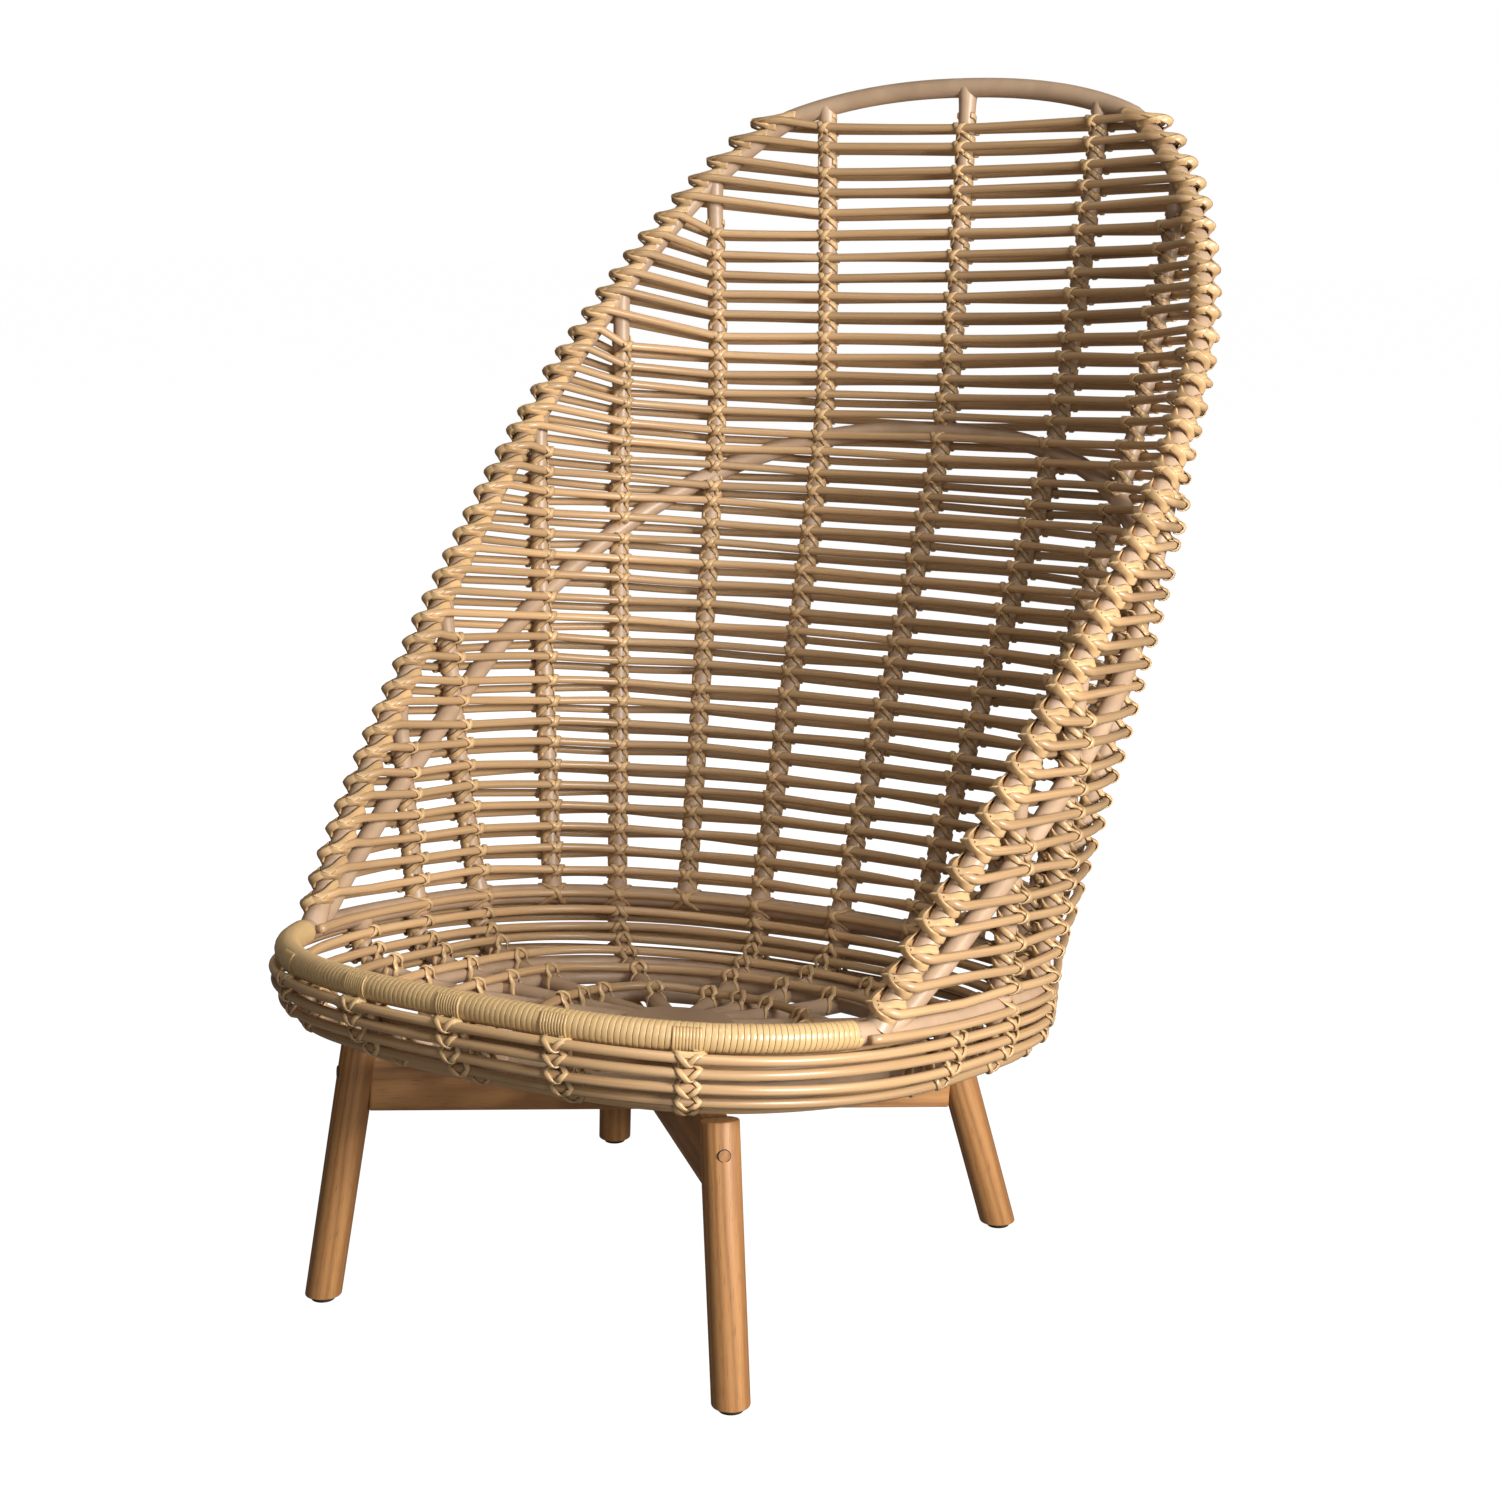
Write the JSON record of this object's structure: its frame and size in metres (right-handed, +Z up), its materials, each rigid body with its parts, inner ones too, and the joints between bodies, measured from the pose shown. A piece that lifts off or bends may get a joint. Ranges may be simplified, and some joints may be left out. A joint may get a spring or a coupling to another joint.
{
  "type": "high-back woven lounge chair",
  "caption": "High-backed lounge chair: a reclined shell of cane rows lashed to a tube frame, open at the front, on a low crossed wooden base with round splayed legs.",
  "frame": {"origin": "middle of the chair's footprint box, on the floor under the glides", "axes": "+Z up, -Y is the front of the seat, +Y is the high back, X = 0 is the mirror plane"},
  "size_m": [0.8374, 1.0178, 1.206],
  "materials": {
    "frame": "satin beige powder coat",
    "cane": "satin round cane, streaked tan",
    "binding": "soft gloss flat cane",
    "wood": "oiled, fine grain",
    "steel": "zinc plated",
    "glide": "matte black"
  },
  "bodies": {
    "root": {"back_weave_1": "cane", "back_weave_2": "cane", "back_weave_3": "cane", "back_weave_4": "cane", "back_weave_5": "cane", "back_weave_6": "cane", "back_weave_7": "cane", "bolt_back_left": "steel", "bolt_back_right": "steel", "bolt_front_left": "steel", "bolt_front_right": "steel", "bowl_weave_inner": "cane", "bowl_weave_outer": "cane", "front_binding": "binding", "glide_back_left": "glide", "glide_back_right": "glide", "glide_front_left": "glide", "glide_front_right": "glide", "leg_back_left": "wood", "leg_back_right": "wood", "leg_front_left": "wood", "leg_front_right": "wood", "middle_hoop": "frame", "mount_block": "wood", "plug_back_left": "wood", "plug_back_right": "wood", "plug_front_left": "wood", "plug_front_right": "wood", "rail_left_to_right": "wood", "rail_right_to_left": "wood", "rib_lower_0": "frame", "rib_lower_left_1": "frame", "rib_lower_left_2": "frame", "rib_lower_left_3": "frame", "rib_lower_left_4": "frame", "rib_lower_left_5": "frame", "rib_lower_left_6": "frame", "rib_lower_right_1": "frame", "rib_lower_right_2": "frame", "rib_lower_right_3": "frame", "rib_lower_right_4": "frame", "rib_lower_right_5": "frame", "rib_lower_right_6": "frame", "rib_upper_0": "frame", "rib_upper_left_1": "frame", "rib_upper_left_2": "frame", "rib_upper_left_3": "frame", "rib_upper_left_4": "frame", "rib_upper_left_5": "frame", "rib_upper_left_6": "frame", "rib_upper_right_1": "frame", "rib_upper_right_2": "frame", "rib_upper_right_3": "frame", "rib_upper_right_4": "frame", "rib_upper_right_5": "frame", "rib_upper_right_6": "frame", "rim_hoop": "frame", "seat_ring_back": "frame", "seat_ring_front": "frame", "seat_spider": "frame"}
  },
  "joints": []
}
